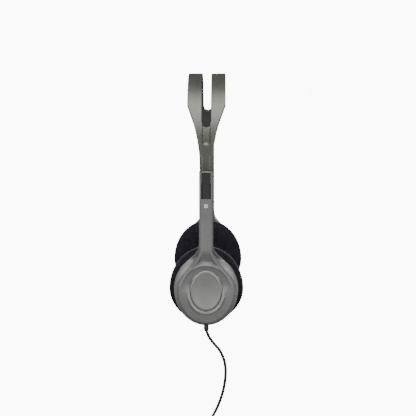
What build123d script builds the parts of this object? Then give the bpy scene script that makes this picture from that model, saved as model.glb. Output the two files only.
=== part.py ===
"""Office headset: a slotted headband, two sliding arms with tilting foam ear pads,
a swinging microphone boom on the right ear, and a cord with a four-pole plug on the left.

Units are millimetres, +Z up.  The origin is the underside of the headband's crown, where the
head holds it.  The wearer faces -X, so the left ear is at -Y and the right ear at +Y.
Every paired piece is drawn for the left ear and mirrored for the right.
"""
import os
from math import pi, radians, tan

from build123d import *

os.makedirs("parts", exist_ok=True)

# ---------------------------------------------------------------- driving dimensions
# "depth" is a distance from the middle plane towards the outside of an ear,
# "height" is a distance above the centre of the ear pads.
crown_height = 150.8        # underside of the crown above the ear's centre
ear_z = -crown_height

band_half_span = 73.0       # outside of the arch, at its ends
band_spring_height = 86.0   # where the arch starts to lean in
band_shell_thick = 2.6
band_liner_thick = 1.2
band_half_width = 14.4
band_neck_half_width = 4.7
band_end_height = 89.6
band_slot_half_width = 3.3
band_slot_end_height = 120.8

tongue_half_width = 2.7
tongue_depths = (70.0, 71.4)
tongue_heights = (44.0, 96.0)
notch_pitch = 3.0
notch_count = 8

arm_half_width = 5.2
arm_top_height = 89.1
arm_depths = (68.6, 74.4)
arm_wall = 1.2
arm_lid_half_width = 4.6
arm_face_half_width = 4.4
window_heights = (68.8, 80.6)
window_half_width = 3.5
clip_half_width = 3.4
clip_finger_half_width = 2.7
marker_height = 63.7
marker_radius = 1.5

shell_widest = (24.0, 28.2)   # half width, reach below the ear's centre
shell_rim = (22.8, 27.0)
shell_top_less = 2.2          # how much shorter the shell is above the centre than below it
shell_rim_depth = 64.6
shell_widest_depth = 67.6
face_half = (20.7, 25.0)
face_depth = 74.4
shell_wall = 1.6
cavity_floor_depth = 71.6
cap_half = (11.7, 15.3)
cap_height = 0.0
cap_depths = (72.9, 75.8)
recess_half = (18.0, 18.6)
recess_depth = 73.2

pad_half_width = 27.7
pad_widest_height = -3.2      # the pad is egg-shaped: its widest line lies below its middle
pad_reach = (32.2, 25.2)      # above and below that line
pad_depths = (47.5, 61.0)
baffle_half = (21.8, 22.8)
baffle_depths = (58.3, 60.9)
housing_half = (18.6, 19.6)
housing_depths = (61.0, 69.2)
housing_wall = 1.4
pivot_depth = 66.0
pivot_radius = 0.9
driver_radius = 13.2
screw_circle = 15.4

boom_half_width = 2.6
boom_depths = (75.0, 78.0)
boom_hub_radius = 13.0
mic_half_width = 4.0
mic_heights = (83.0, 100.0)
mic_capsule_height = 93.5
hub_post_radius = 2.5

cord_diameter = 2.3
cord_depth = 68.0
relief_heights = (-32.4, -24.6)
relief_neck_radius = 1.5
coil_height = -125.0
coil_radii = (7.6, 19.4)
coil_half_thick = 4.8
plug_place = (-8.6, 60.3)     # x, depth
plug_top_height = -135.0
plug_collar_long = 7.0
plug_body_long = 16.0
plug_pin_long = 14.0
plug_pin_radius = 1.75

fit_gap = 0.05                # radial clearance of a running fit
seat_gap = 0.1                # clearance of a piece in its seat


# ---------------------------------------------------------------- planes and saving
def outward(depth, height=0.0, x=0.0):
    """A plane facing out of the left ear: its x is the object's x and its y is height."""
    return Plane(origin=(x, -depth, ear_z + height), x_dir=(1, 0, 0), z_dir=(0, -1, 0))


def upward(height, x=0.0, depth=0.0):
    """A level plane: its x is the object's x and its y is the object's y."""
    return Plane(origin=(x, -depth, ear_z + height), x_dir=(1, 0, 0), z_dir=(0, 0, 1))


def save(piece, name):
    """Label one finished piece and write it as parts/NAME.step."""
    piece.label = name
    export_step(piece, f"parts/{name}.step")


def save_pair(builder, name):
    """Write a left-hand piece and its mirror image for the right ear."""
    save(builder.part, f"left_{name}")
    with BuildPart() as twin:
        add(builder.part)
        mirror(about=Plane.XZ, mode=Mode.REPLACE)
    save(twin.part, f"right_{name}")


def save_right(builder, name):
    """Write a piece that was drawn on the left but belongs to the right ear."""
    with BuildPart() as twin:
        add(builder.part)
        mirror(about=Plane.XZ, mode=Mode.REPLACE)
    save(twin.part, name)


# ---------------------------------------------------------------- headband
arch_plane = Plane(origin=(0, 0, ear_z), x_dir=(0, 1, 0), z_dir=(1, 0, 0))
band_thick = band_shell_thick + band_liner_thick
band_rise = crown_height + band_thick - band_spring_height


def arch(outer_inset, inner_inset, x=0.0):
    """The half-elliptical arch between two insets from the band's outside, ends cut level."""
    with BuildSketch(arch_plane.offset(x)) as section:
        with Locations((0, band_spring_height)):
            Ellipse(band_half_span - outer_inset, band_rise - outer_inset)
            Ellipse(band_half_span - inner_inset, band_rise - inner_inset, mode=Mode.SUBTRACT)
        with Locations((0, band_end_height)):
            Rectangle(
                4 * band_half_span,
                2 * band_rise,
                align=(Align.CENTER, Align.MIN),
                mode=Mode.INTERSECT,
            )
    return section.sketch


# The band's outline seen from the side: two wide strips that taper into a narrow neck.
with BuildSketch(outward(0)) as band_outline:
    with BuildLine():
        flank = Spline(
            (band_neck_half_width, band_end_height),
            (5.05, 100.7),
            (6.6, 111.9),
            (9.3, 123.0),
            (band_half_width, 136.4),
            tangents=[(0, 1), (0.9, 2)],
        )
        side = Line(flank @ 1, (band_half_width, 165))
        Line(side @ 1, (0, 165))
        mirror(about=Plane.YZ)
        Line((-band_neck_half_width, band_end_height), (band_neck_half_width, band_end_height))
    make_face()

# The long slot between the strips, round at its lower end.
with BuildSketch(outward(0)) as band_slot:
    with Locations((0, band_slot_end_height + band_slot_half_width)):
        Circle(band_slot_half_width)
        Rectangle(2 * band_slot_half_width, 60, align=(Align.CENTER, Align.MIN))

wire_x = 4.15
wire_half = 0.45
wire_inset = band_shell_thick - 0.65
groove_heights = (107.5, 124.0)
groove_depth = 1.2
panel_heights = (90.0, 100.7)
panel_depth = 0.4
rivet_height = 92.5
rivet_radius = 0.8

# The slots in the band's ends that take the slider tongues.
tongue_slot_deep = tongue_heights[1] - band_end_height + seat_gap
with BuildSketch(Plane.XY.offset(ear_z + band_end_height)) as tongue_slots:
    for end_side in (-1, 1):
        with Locations((0, end_side * (tongue_depths[0] + tongue_depths[1]) / 2)):
            Rectangle(
                2 * tongue_half_width + seat_gap,
                tongue_depths[1] - tongue_depths[0] + seat_gap,
            )

with BuildPart() as band_shell:
    extrude(arch(0, band_shell_thick), amount=band_half_width, both=True)
    extrude(band_outline.sketch, amount=100, both=True, mode=Mode.INTERSECT)
    extrude(band_slot.sketch, amount=100, both=True, mode=Mode.SUBTRACT)
    # channel for the wire that joins the two ears
    extrude(
        arch(wire_inset - wire_half - fit_gap, band_thick, wire_x),
        amount=wire_half + fit_gap,
        both=True,
        mode=Mode.SUBTRACT,
    )
    # blind slots that take the slider tongues, and the rivets' holes
    extrude(tongue_slots.sketch, amount=tongue_slot_deep, mode=Mode.SUBTRACT)
    with BuildSketch(outward(0, rivet_height)):
        Circle(rivet_radius)
    extrude(amount=100, both=True, mode=Mode.SUBTRACT)

# The scooped groove under the slot and the shallow panel above the neck, on both sides.
with BuildPart() as groove_cutter:
    extrude(arch(-1.0, groove_depth), amount=3.1, both=True)
    with BuildSketch(outward(0)):
        with Locations((0, groove_heights[0])):
            Rectangle(7, groove_heights[1] - groove_heights[0], align=(Align.CENTER, Align.MIN))
    extrude(amount=100, both=True, mode=Mode.INTERSECT)
with BuildPart() as panel_cutter:
    extrude(arch(-1.0, panel_depth), amount=3.0, both=True)
    with BuildSketch(outward(0)):
        with Locations((0, panel_heights[0])):
            Rectangle(7, panel_heights[1] - panel_heights[0], align=(Align.CENTER, Align.MIN))
    extrude(amount=100, both=True, mode=Mode.INTERSECT)
with band_shell:
    add(groove_cutter.part, mode=Mode.SUBTRACT)
    add(panel_cutter.part, mode=Mode.SUBTRACT)
save(band_shell.part, "headband_shell")

# The soft lining under the shell, with the same outline and slot.
with BuildPart() as band_liner:
    extrude(arch(band_shell_thick, band_thick), amount=band_half_width, both=True)
    extrude(band_outline.sketch, amount=100, both=True, mode=Mode.INTERSECT)
    extrude(band_slot.sketch, amount=100, both=True, mode=Mode.SUBTRACT)
    extrude(tongue_slots.sketch, amount=tongue_slot_deep, mode=Mode.SUBTRACT)
    with BuildSketch(outward(0, rivet_height)):
        Circle(rivet_radius)
    extrude(amount=100, both=True, mode=Mode.SUBTRACT)
save(band_liner.part, "headband_liner")

# The flat wire from ear to ear, in its channel.
with BuildPart() as cross_wire:
    extrude(
        arch(wire_inset - wire_half, wire_inset + wire_half, wire_x),
        amount=wire_half,
        both=True,
    )
save(cross_wire.part, "cross_wire")

# The steel tongue that the arm slides on: a flat strip with a row of click notches.
with BuildPart() as slider_tongue:
    with BuildSketch(outward(tongue_depths[0])):
        with Locations((0, tongue_heights[0])):
            Rectangle(
                2 * tongue_half_width,
                tongue_heights[1] - tongue_heights[0],
                align=(Align.CENTER, Align.MIN),
            )
    extrude(amount=tongue_depths[1] - tongue_depths[0])
    fillet(slider_tongue.edges().filter_by(Axis.Y).group_by(Axis.Z)[0], 1.2)
    with BuildSketch(outward(tongue_depths[1], 49.5)):
        with Locations(*[(0, step * notch_pitch) for step in range(notch_count)]):
            RectangleRounded(3.6, 1.0, 0.45)
    extrude(amount=-0.5, mode=Mode.SUBTRACT)
    with BuildSketch(outward(0, rivet_height)):
        Circle(rivet_radius)
    extrude(amount=100, mode=Mode.SUBTRACT)
save_pair(slider_tongue, "slider_tongue")

# One rivet holds each tongue in the band.
with BuildPart() as tongue_rivet:
    with BuildSketch(outward(69.0, rivet_height)):
        Circle(rivet_radius)
    extrude(amount=3.2)
save_pair(tongue_rivet, "tongue_rivet")


# ---------------------------------------------------------------- arms
def oval(plane, half, height=0.0):
    """A filled ellipse with the given half width and half height."""
    with BuildSketch(plane) as drawn:
        with Locations((0, height)):
            Ellipse(half[0], half[1])
    return drawn.sketch


def grown(half, amount):
    """Half sizes made larger by the same amount both ways."""
    return (half[0] + amount, half[1] + amount)


def egg(plane, half_width, above, below, height=0.0):
    """Two half ellipses that meet on their widest line, with different reaches above and below."""
    with BuildSketch(plane) as drawn:
        with BuildLine():
            EllipticalCenterArc((0, height), half_width, above, start_angle=0, arc_size=180)
            EllipticalCenterArc((0, height), half_width, below, start_angle=180, arc_size=180)
        make_face()
    return drawn.sketch


def shell_section(depth, half):
    """One section of the ear shell, a little shorter above the ear's centre than below it."""
    return egg(outward(depth), half[0], half[1] - shell_top_less, half[1])


# The raised face: an oval that sweeps up into the arm, like a racket.
with BuildSketch(outward(70.0)) as racket:
    with BuildLine():
        EllipticalCenterArc((0, 0), face_half[0], face_half[1], start_angle=270, arc_size=90)
        shoulder = Spline(
            (face_half[0], 0),
            (17.6, 10.4),
            (12.4, 16.6),
            (7.2, 22.6),
            (arm_face_half_width, 35.0),
            tangents=[(0, 1), (0, 1)],
        )
        Line(shoulder @ 1, (arm_face_half_width, arm_top_height))
        mirror(about=Plane.YZ)
        Line((arm_face_half_width, arm_top_height), (-arm_face_half_width, arm_top_height))
    make_face()

# The arm's body, which spreads where it meets the shell.
with BuildSketch(outward(arm_depths[0])) as arm_body:
    with BuildLine():
        spread = Spline(
            (12.6, 20.0),
            (8.0, 26.4),
            (arm_half_width, 35.0),
            tangents=[(-1, 0.9), (0, 1)],
        )
        Line(spread @ 1, (arm_half_width, arm_top_height - 0.8))
        Line((arm_half_width, arm_top_height - 0.8), (arm_half_width - 0.8, arm_top_height))
        mirror(about=Plane.YZ)
        Line((arm_half_width - 0.8, arm_top_height), (-arm_half_width + 0.8, arm_top_height))
        Line((12.6, 20.0), (-12.6, 20.0))
    make_face()

channel_depths = (arm_depths[0] + arm_wall, 72.8)
channel_half_width = 4.1
channel_heights = (33.0, 87.6)
boss_half_height = 2.6
boss_xs = (19.9, 22.6)


def arm_shell(with_boom):
    """The moulded outer arm: sleeve, neck and oval ear shell in one piece."""
    with BuildPart() as shell:
        # pebble-shaped body, widest a third of the way out
        loft(
            sections=[
                shell_section(shell_rim_depth, shell_rim),
                shell_section(shell_widest_depth, shell_widest),
                shell_section(71.0, grown(shell_widest, -1.1)),
                shell_section(73.4, grown(shell_widest, -3.0)),
            ]
        )
        extrude(arm_body.sketch, amount=73.6 - arm_depths[0])
        extrude(racket.sketch, amount=face_depth - 70.0)
        chamfer(shell.faces().sort_by(Axis.Y)[0].outer_wire().edges(), 0.5)
        # hollow inside
        loft(
            sections=[
                shell_section(shell_rim_depth, grown(shell_rim, -shell_wall)),
                shell_section(shell_widest_depth, grown(shell_widest, -shell_wall)),
                shell_section(cavity_floor_depth, grown(shell_widest, -shell_wall - 1.5)),
            ],
            mode=Mode.SUBTRACT,
        )
        # bosses for the ear pad's pivots, with blind holes
        with BuildSketch(outward(shell_rim_depth + 0.2)):
            with Locations((sum(boss_xs) / 2, 0), (-sum(boss_xs) / 2, 0)):
                Rectangle(boss_xs[1] - boss_xs[0], 2 * boss_half_height)
        extrude(amount=cavity_floor_depth - shell_rim_depth)
        with BuildSketch(Plane.YZ):
            with Locations((-pivot_depth, ear_z)):
                Circle(pivot_radius)
        extrude(amount=22.0, both=True, mode=Mode.SUBTRACT)
        # sleeve channel, its lid's seat and the tongue's mouth
        channel_long = channel_heights[1] - channel_heights[0]
        with BuildSketch(outward(arm_depths[0], channel_heights[0])):
            Rectangle(2 * channel_half_width, channel_long, align=(Align.CENTER, Align.MIN))
        extrude(amount=channel_depths[1] - arm_depths[0], mode=Mode.SUBTRACT)
        with BuildSketch(outward(arm_depths[0], channel_heights[0] - 1)):
            Rectangle(2 * arm_lid_half_width, channel_long + 1, align=(Align.CENTER, Align.MIN))
        extrude(amount=arm_wall, mode=Mode.SUBTRACT)
        with BuildSketch(outward(tongue_depths[0] - 0.2, channel_heights[1] - 0.1)):
            Rectangle(2 * tongue_half_width + 0.4, 2, align=(Align.CENTER, Align.MIN))
        extrude(amount=tongue_depths[1] - tongue_depths[0] + 0.4, mode=Mode.SUBTRACT)
        # way for the wires from the channel into the ear shell
        with BuildSketch(outward(69.8, 22.0)):
            Rectangle(4, 12, align=(Align.CENTER, Align.MIN))
        extrude(amount=1.8, mode=Mode.SUBTRACT)
        # window and the clip's seat above it
        with BuildSketch(outward(channel_depths[1], window_heights[0])):
            Rectangle(
                2 * window_half_width,
                window_heights[1] - window_heights[0],
                align=(Align.CENTER, Align.MIN),
            )
        extrude(amount=3, mode=Mode.SUBTRACT)
        with BuildSketch(outward(73.4, window_heights[1])):
            Rectangle(2 * clip_half_width, 7.7, align=(Align.CENTER, Align.MIN))
        extrude(amount=2, mode=Mode.SUBTRACT)
        # marker's seat
        with BuildSketch(outward(face_depth, marker_height)):
            Circle(marker_radius)
        extrude(amount=-0.8, mode=Mode.SUBTRACT)
        if with_boom:
            # round dish and bearing hole for the boom's hub
            with BuildSketch(outward(recess_depth, cap_height)):
                Circle(recess_half[0])
            extrude(amount=3, mode=Mode.SUBTRACT)
            with BuildSketch(outward(cavity_floor_depth - 1, cap_height)):
                Circle(hub_post_radius + fit_gap)
            extrude(amount=6, mode=Mode.SUBTRACT)
        else:
            # horseshoe recess over the cap, the cap's seat and the cord's outlet
            with BuildSketch(outward(recess_depth, cap_height)):
                Ellipse(*recess_half)
                Rectangle(60, 30, align=(Align.CENTER, Align.MIN), mode=Mode.INTERSECT)
            extrude(amount=3, mode=Mode.SUBTRACT)
            extrude(
                oval(outward(cap_depths[0]), grown(cap_half, seat_gap), cap_height),
                amount=3,
                mode=Mode.SUBTRACT,
            )
            with BuildSketch(upward(-30, depth=cord_depth)):
                Circle(relief_neck_radius + seat_gap / 2)
            extrude(amount=6, mode=Mode.SUBTRACT)
    return shell


left_arm_shell = arm_shell(with_boom=False)
right_arm_shell = arm_shell(with_boom=True)
save(left_arm_shell.part, "left_arm_shell")
save_right(right_arm_shell, "right_arm_shell")

# The lid on the arm's head side closes the slider channel.
lid_screw_height = 36.5
with BuildPart() as arm_lid:
    with BuildSketch(outward(arm_depths[0], channel_heights[0] - 0.9)):
        Rectangle(
            2 * arm_lid_half_width - seat_gap,
            channel_heights[1] - channel_heights[0] + 0.8,
            align=(Align.CENTER, Align.MIN),
        )
    extrude(amount=arm_wall)
    # solid foot below the tongue that takes the lid's screw
    with BuildSketch(outward(arm_depths[0] + arm_wall, channel_heights[0] + 0.1)):
        Rectangle(2 * channel_half_width - 2 * seat_gap, 7, align=(Align.CENTER, Align.MIN))
    extrude(amount=channel_depths[1] - channel_depths[0] - seat_gap)
    with BuildSketch(outward(arm_depths[0] - 1, lid_screw_height)):
        Circle(0.8)
    extrude(amount=4.6, mode=Mode.SUBTRACT)
    with BuildSketch(outward(arm_depths[0], lid_screw_height)):
        Circle(1.5)
    extrude(amount=0.7, mode=Mode.SUBTRACT)
save_pair(arm_lid, "arm_lid")

with BuildPart() as lid_screw:
    with BuildSketch(outward(arm_depths[0] + 0.05, lid_screw_height)):
        Circle(1.45)
    extrude(amount=0.6)
    with BuildSketch(outward(arm_depths[0] + 0.6, lid_screw_height)):
        Circle(0.8)
    extrude(amount=2.9)
save_pair(lid_screw, "lid_screw")

# The nylon click clip: a plate at the sleeve's mouth and a springy finger in the window.
clip_plate_depths = (73.4, 74.0)
with BuildPart() as detent_clip:
    with BuildSketch(outward(clip_plate_depths[0], window_heights[1])):
        Rectangle(2 * clip_half_width - seat_gap, 7.6, align=(Align.CENTER, Align.MIN))
    extrude(amount=clip_plate_depths[1] - clip_plate_depths[0])
    with BuildSketch(outward(73.0, window_heights[0] + 0.9)):
        Rectangle(
            2 * clip_finger_half_width,
            window_heights[1] - window_heights[0] - 0.95,
            align=(Align.CENTER, Align.MIN),
        )
    extrude(amount=0.8)
    with BuildSketch(outward(73.4, window_heights[1] - 1)):
        Rectangle(2 * clip_finger_half_width, 2, align=(Align.CENTER, Align.MIN))
    extrude(amount=0.4)
    with BuildSketch(outward(tongue_depths[1] + 0.1, window_heights[0] + 2.2)):
        RectangleRounded(3.2, 0.9, 0.4)
    extrude(amount=1.6)
save_pair(detent_clip, "detent_clip")

# The round marker pressed into the arm.
with BuildPart() as marker:
    with BuildSketch(outward(face_depth - 0.8, marker_height)):
        Circle(marker_radius)
    extrude(amount=0.9)
    with BuildSketch(outward(face_depth + 0.1, marker_height)):
        Circle(0.55)
    extrude(amount=-0.3, mode=Mode.SUBTRACT)
save_pair(marker, "marker")

# The oval cap on the left ear.
with BuildPart() as ear_cap:
    extrude(
        oval(outward(cap_depths[0]), cap_half, cap_height),
        amount=cap_depths[1] - cap_depths[0],
    )
    fillet(ear_cap.faces().sort_by(Axis.Y)[0].edges(), 1.1)
save(ear_cap.part, "left_ear_cap")

# The two pivot pins of each ear pad.
with BuildPart() as pivot_pins:
    for pin_side in (-1, 1):
        with BuildSketch(Plane.YZ.offset(pin_side * 17.3)):
            with Locations((-pivot_depth, ear_z)):
                Circle(pivot_radius)
        extrude(amount=pin_side * 4.7)
save_pair(pivot_pins, "pivot_pins")

# ---------------------------------------------------------------- ear pads
# The foam cushion is a plain solid of the right size, hollow behind for the baffle.
with BuildPart() as cushion:
    extrude(
        egg(outward(pad_depths[0]), pad_half_width, *pad_reach, pad_widest_height),
        amount=pad_depths[1] - pad_depths[0],
    )
    fillet(cushion.faces().sort_by(Axis.Y)[-1].edges(), 5.0)
    fillet(cushion.faces().sort_by(Axis.Y)[0].edges(), 4.0)
    extrude(
        oval(outward(baffle_depths[0] - 0.2), grown(baffle_half, 0.2)),
        amount=6,
        mode=Mode.SUBTRACT,
    )
save_pair(cushion, "foam_cushion")

screw_spots = PolarLocations(screw_circle, 3, start_angle=90)

# The baffle carries the cushion and lets the sound through.
with BuildPart() as baffle:
    extrude(
        oval(outward(baffle_depths[0]), baffle_half),
        amount=baffle_depths[1] - baffle_depths[0],
    )
    with BuildSketch(outward(baffle_depths[0])):
        with HexLocations(1.7, 7, 7):
            Circle(0.9)
        Circle(11.0, mode=Mode.INTERSECT)
    extrude(amount=4, mode=Mode.SUBTRACT)
    with BuildSketch(outward(baffle_depths[0])):
        with screw_spots:
            Circle(1.6)
    extrude(amount=0.9, mode=Mode.SUBTRACT)
    with BuildSketch(outward(baffle_depths[0])):
        with screw_spots:
            Circle(0.8)
    extrude(amount=4, mode=Mode.SUBTRACT)
save_pair(baffle, "baffle")

with BuildPart() as speaker_housing:
    extrude(
        oval(outward(housing_depths[0]), housing_half),
        amount=housing_depths[1] - housing_depths[0],
    )
    fillet(speaker_housing.faces().sort_by(Axis.Y)[0].edges(), 2.0)
    extrude(
        oval(outward(housing_depths[0]), grown(housing_half, -housing_wall)),
        amount=housing_depths[1] - housing_depths[0] - housing_wall,
        mode=Mode.SUBTRACT,
    )
    with BuildSketch(outward(housing_depths[0])):
        with screw_spots:
            Circle(1.7)
    extrude(amount=housing_depths[1] - housing_depths[0] - 0.7)
    with BuildSketch(outward(housing_depths[0])):
        with screw_spots:
            Circle(0.8)
    extrude(amount=5, mode=Mode.SUBTRACT)
    with BuildSketch(Plane.YZ):
        with Locations((-pivot_depth, ear_z)):
            Circle(pivot_radius + fit_gap)
    extrude(amount=30, both=True, mode=Mode.SUBTRACT)
save_pair(speaker_housing, "speaker_housing")

with BuildPart() as housing_screws:
    with BuildSketch(outward(baffle_depths[0] + 0.1)):
        with screw_spots:
            Circle(1.5)
    extrude(amount=0.8)
    with BuildSketch(outward(baffle_depths[0] + 0.8)):
        with screw_spots:
            Circle(0.8)
    extrude(amount=6.0)
save_pair(housing_screws, "housing_screws")

# The loudspeaker: a ring frame, a thin domed diaphragm, a magnet pot and a damping cloth.
with BuildPart() as driver_frame:
    with BuildSketch(outward(61.4)):
        Circle(driver_radius)
        Circle(driver_radius - 1.8, mode=Mode.SUBTRACT)
    extrude(amount=2.2)
    with BuildSketch(outward(63.4)):
        Circle(driver_radius)
        Circle(7.6, mode=Mode.SUBTRACT)
    extrude(amount=0.9)
save_pair(driver_frame, "driver_frame")

with BuildPart() as driver_magnet:
    with BuildSketch(outward(63.5)):
        Circle(7.5)
    extrude(amount=4.2)
    with BuildSketch(outward(63.5)):
        Circle(5.2)
        Circle(4.2, mode=Mode.SUBTRACT)
    extrude(amount=2.4, mode=Mode.SUBTRACT)
save_pair(driver_magnet, "driver_magnet")

with BuildPart() as diaphragm:
    with BuildSketch(outward(61.9)):
        Circle(driver_radius - 1.9)
    extrude(amount=0.3)
    with BuildSketch(outward(62.2)):
        Circle(4.95)
        Circle(4.45, mode=Mode.SUBTRACT)
    extrude(amount=3.2)
save_pair(diaphragm, "diaphragm")

with BuildPart() as damping_cloth:
    with BuildSketch(outward(61.0)):
        Circle(12.4)
    extrude(amount=0.3)
save_pair(damping_cloth, "damping_cloth")

# ---------------------------------------------------------------- microphone boom, right ear
hub_depths = (recess_depth + 0.2, 77.2)

with BuildPart() as boom_arm:
    with BuildSketch(outward(hub_depths[0], cap_height)):
        Circle(boom_hub_radius)
    extrude(amount=hub_depths[1] - hub_depths[0])
    fillet(boom_arm.faces().sort_by(Axis.Y)[0].edges(), 1.2)
    with BuildSketch(outward(boom_depths[0], cap_height)):
        Rectangle(
            2 * boom_half_width,
            mic_heights[0] + 6 - cap_height,
            align=(Align.CENTER, Align.MIN),
        )
    extrude(amount=boom_depths[1] - boom_depths[0])
    with BuildSketch(outward(boom_depths[0], sum(mic_heights) / 2)):
        SlotOverall(mic_heights[1] - mic_heights[0], 2 * mic_half_width, rotation=90)
    extrude(amount=boom_depths[1] - boom_depths[0])
    # post that turns in the arm, with a blind hole for its screw
    with BuildSketch(outward(71.4, cap_height)):
        Circle(hub_post_radius)
    extrude(amount=2.2)
    with BuildSketch(outward(71.4, cap_height)):
        Circle(0.8)
    extrude(amount=3.6, mode=Mode.SUBTRACT)
    # pocket and sound port of the microphone
    with BuildSketch(outward(boom_depths[0] + 0.8, mic_capsule_height)):
        Circle(2.6)
    extrude(amount=5, mode=Mode.SUBTRACT)
    with BuildSketch(outward(boom_depths[0] - 1, mic_capsule_height)):
        RectangleRounded(3.4, 1.6, 0.7)
    extrude(amount=3, mode=Mode.SUBTRACT)
save_right(boom_arm, "boom_arm")

with BuildPart() as mic_cover:
    with BuildSketch(outward(boom_depths[1], sum(mic_heights) / 2)):
        SlotOverall(mic_heights[1] - mic_heights[0], 2 * mic_half_width, rotation=90)
    extrude(amount=1.6)
    fillet(mic_cover.faces().sort_by(Axis.Y)[0].edges(), 0.9)
save_right(mic_cover, "mic_cover")

with BuildPart() as mic_capsule:
    with BuildSketch(outward(boom_depths[0] + 0.9, mic_capsule_height)):
        Circle(2.5)
    extrude(amount=2.0)
save_right(mic_capsule, "mic_capsule")

with BuildPart() as boom_washer:
    with BuildSketch(outward(70.7, cap_height)):
        Circle(4.2)
        Circle(0.85, mode=Mode.SUBTRACT)
    extrude(amount=0.7)
save_right(boom_washer, "boom_washer")

with BuildPart() as boom_screw:
    with BuildSketch(outward(70.2, cap_height)):
        Circle(1.6)
    extrude(amount=0.5)
    with BuildSketch(outward(70.6, cap_height)):
        Circle(0.8)
    extrude(amount=3.8)
save_right(boom_screw, "boom_screw")

# ---------------------------------------------------------------- cord, left ear
# The moulded strain relief: an inner flange, a neck through the shell and a short tail.
with BuildPart() as strain_relief:
    with BuildSketch(upward(relief_heights[1], depth=cord_depth)):
        Circle(2.3)
    extrude(amount=1.2)
    with BuildSketch(upward(-28.2, depth=cord_depth)):
        Circle(relief_neck_radius)
    extrude(amount=3.7)
    with BuildSketch(upward(-28.2, depth=cord_depth)):
        Circle(1.75)
    with BuildSketch(upward(-31.0, x=0.1, depth=cord_depth)):
        Circle(1.9)
    with BuildSketch(upward(relief_heights[0], x=0.2, depth=cord_depth)):
        Circle(1.4)
    loft()
save(strain_relief.part, "strain_relief")


def tube(points, diameter):
    """A cord along straight runs joined by the largest smooth bends that the runs allow."""
    corners = [Vector(*point) for point in points]
    bends = []
    for before, corner, after in zip(corners, corners[1:], corners[2:]):
        turn = radians((corner - before).get_angle(after - corner))
        shorter = min((corner - before).length, (after - corner).length)
        bends.append(0.45 * shorter / tan(turn / 2))
    with BuildPart() as cord:
        with BuildLine():
            route = FilletPolyline(*corners, radius=bends)
        with BuildSketch(Plane(origin=route @ 0, z_dir=route % 0)):
            Circle(diameter / 2)
        sweep(path=route)
    section = pi * diameter**2 / 4
    print("bend radii", [round(bend, 1) for bend in bends])
    print("route length", round(route.length, 1))
    print("volume over section times length", round(cord.part.volume / (section * route.length), 4))
    return cord


# The lead swings back from the strain relief and hangs down to the coil.
lead_route = [
    (0.2, -68.0, -32.4),
    (1.6, -68.0, -36.2),
    (5.0, -68.0, -41.4),
    (11.0, -68.3, -47.6),
    (15.2, -69.0, -59.5),
    (13.8, -70.0, -76.0),
    (8.8, -71.0, -91.0),
    (2.6, -71.4, -102.0),
    (-5.3, -71.45, -107.6),
]
cord_lead = tube([(x, y, ear_z + z) for x, y, z in lead_route], cord_diameter)
save(cord_lead.part, "cord_lead")

# The rest of the cord, wound into a tied coil.
with BuildPart() as cord_coil:
    with BuildSketch(outward(cord_depth - coil_half_thick, coil_height)):
        Circle(coil_radii[1])
        Circle(coil_radii[0], mode=Mode.SUBTRACT)
    extrude(amount=2 * coil_half_thick)
    fillet(cord_coil.edges().filter_by(GeomType.CIRCLE), 2.0)
save(cord_coil.part, "cord_coil")

# The tie is a soft strap round the top of the coil.
with BuildPart() as cord_tie:
    with BuildSketch(upward(coil_height + 13.5, depth=cord_depth)):
        Rectangle(7, 12.4)
    extrude(amount=7.1, both=True)
    add(cord_coil.part, mode=Mode.SUBTRACT)
    with BuildSketch(upward(coil_height + 13.5, depth=cord_depth)):
        Rectangle(8, 10.2)
    extrude(amount=6.0, both=True, mode=Mode.SUBTRACT)
    # the lead passes under the strap
    add(cord_lead.part, mode=Mode.SUBTRACT)
save(cord_tie.part, "cord_tie")

# The tail leaves the coil's inner turn and runs down over its face to the plug.
tail_route = [
    (-8.9, -65.0, -116.0),
    (-8.9, -62.6, -122.5),
    (-8.8, -60.7, -129.0),
    (plug_place[0], -plug_place[1], plug_top_height),
]
cord_tail = tube([(x, y, ear_z + z) for x, y, z in tail_route], cord_diameter)
save(cord_tail.part, "cord_tail")


def plug_plane(height):
    """A level plane on the plug's axis."""
    return upward(height, x=plug_place[0], depth=plug_place[1])


collar_end = plug_top_height - plug_collar_long
body_end = collar_end - plug_body_long

with BuildPart() as plug_body:
    with BuildSketch(plug_plane(body_end)):
        Circle(2.7)
    extrude(amount=plug_body_long)
    fillet(plug_body.edges().filter_by(GeomType.CIRCLE), 0.6)
    with BuildSketch(plug_plane(collar_end - 0.5)):
        Circle(2.1)
    with BuildSketch(plug_plane(plug_top_height)):
        Circle(1.45)
    loft()
save(plug_body.part, "plug_body")

# Four contacts on one axis, parted by thin insulating rings: sleeve, two rings and the tip.
pin_segments = [
    ("sleeve", 0.0, 4.6),
    ("insulator", 4.6, 5.2),
    ("ring", 5.2, 7.2),
    ("insulator", 7.2, 7.8),
    ("ring", 7.8, 9.8),
    ("insulator", 9.8, 10.4),
]


def pin_pieces(kind):
    """All stretches of one kind along the plug's pin."""
    with BuildPart() as pieces:
        for segment, start, end in pin_segments:
            if segment == kind:
                with BuildSketch(plug_plane(body_end - start)):
                    Circle(plug_pin_radius)
                extrude(amount=start - end)
    return pieces


save(pin_pieces("sleeve").part, "plug_sleeve")
save(pin_pieces("ring").part, "plug_rings")
save(pin_pieces("insulator").part, "plug_insulators")

with BuildPart() as plug_tip:
    with BuildSketch(outward(plug_place[1], body_end, plug_place[0])):
        with BuildLine():
            Polyline(
                (0, -10.4),
                (plug_pin_radius, -10.4),
                (plug_pin_radius, -11.0),
                (1.15, -11.7),
                (1.65, -12.5),
                (0.6, -plug_pin_long),
                (0, -plug_pin_long),
                (0, -10.4),
            )
        make_face()
    revolve(axis=Axis((plug_place[0], -plug_place[1], 0), (0, 0, 1)))
save(plug_tip.part, "plug_tip")
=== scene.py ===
"""The looks of an office headset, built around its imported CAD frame: a slotted silver-grey headband,
two sliding arms with egg-shaped ear shells, foam pads, a swinging microphone boom and a thin cord."""

import math

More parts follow.
